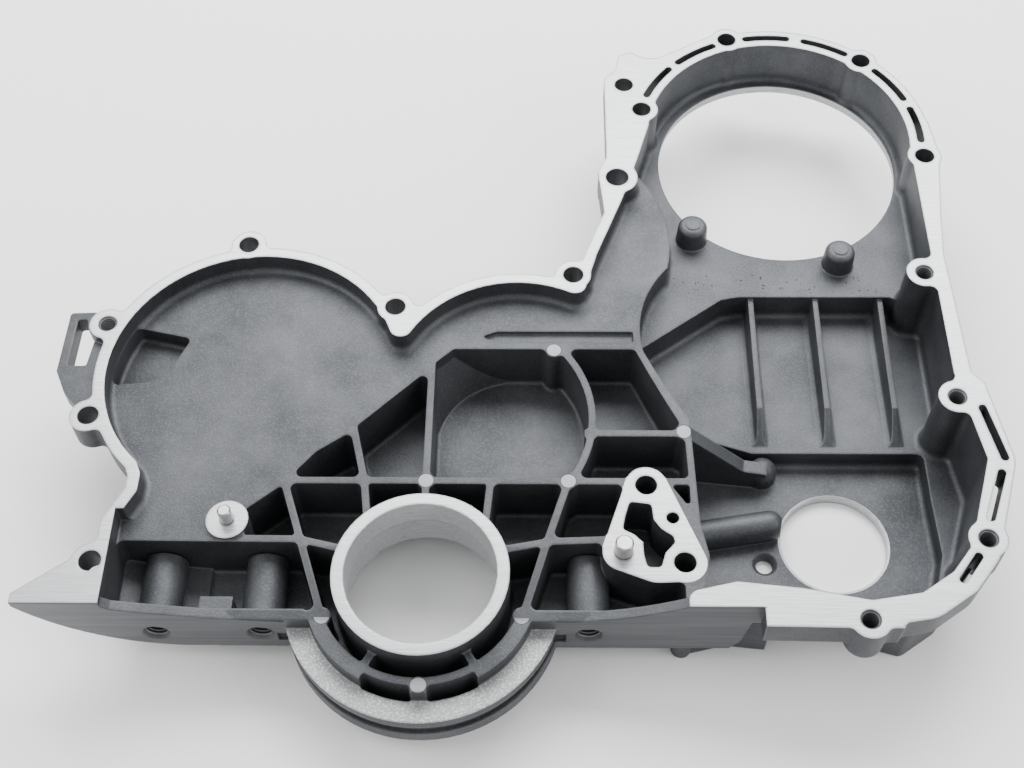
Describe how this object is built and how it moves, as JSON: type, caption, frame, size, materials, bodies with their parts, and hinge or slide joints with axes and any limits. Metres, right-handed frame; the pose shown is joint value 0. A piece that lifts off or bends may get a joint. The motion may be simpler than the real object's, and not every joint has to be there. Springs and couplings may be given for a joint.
{
  "type": "camshaft gear cover",
  "caption": "Die-cast timing gear cover that closes over camshaft, idler and pump gears, with a crank bore, ribbed pockets, deep basin, port pad and flat sump face.",
  "frame": {"origin": "on the crankshaft bore's axis, halfway along its machined wall, 15.5 mm below the rim's plane", "axes": "+Z out of the rim towards the engine, along the crankshaft; +Y up the engine; +X to the right as the engine sees the cover. The cover lies on its front with the rim up."},
  "size_m": [0.4883, 0.437, 0.062],
  "materials": {
    "cast_aluminium": "as cast, fine grain, with machined faces",
    "dowel_steel": "ground",
    "pin_steel": "ground"
  },
  "bodies": {
    "root": {"cover_casting": "cast_aluminium", "port_dowel": "dowel_steel", "boss_pin": "pin_steel"}
  },
  "joints": []
}
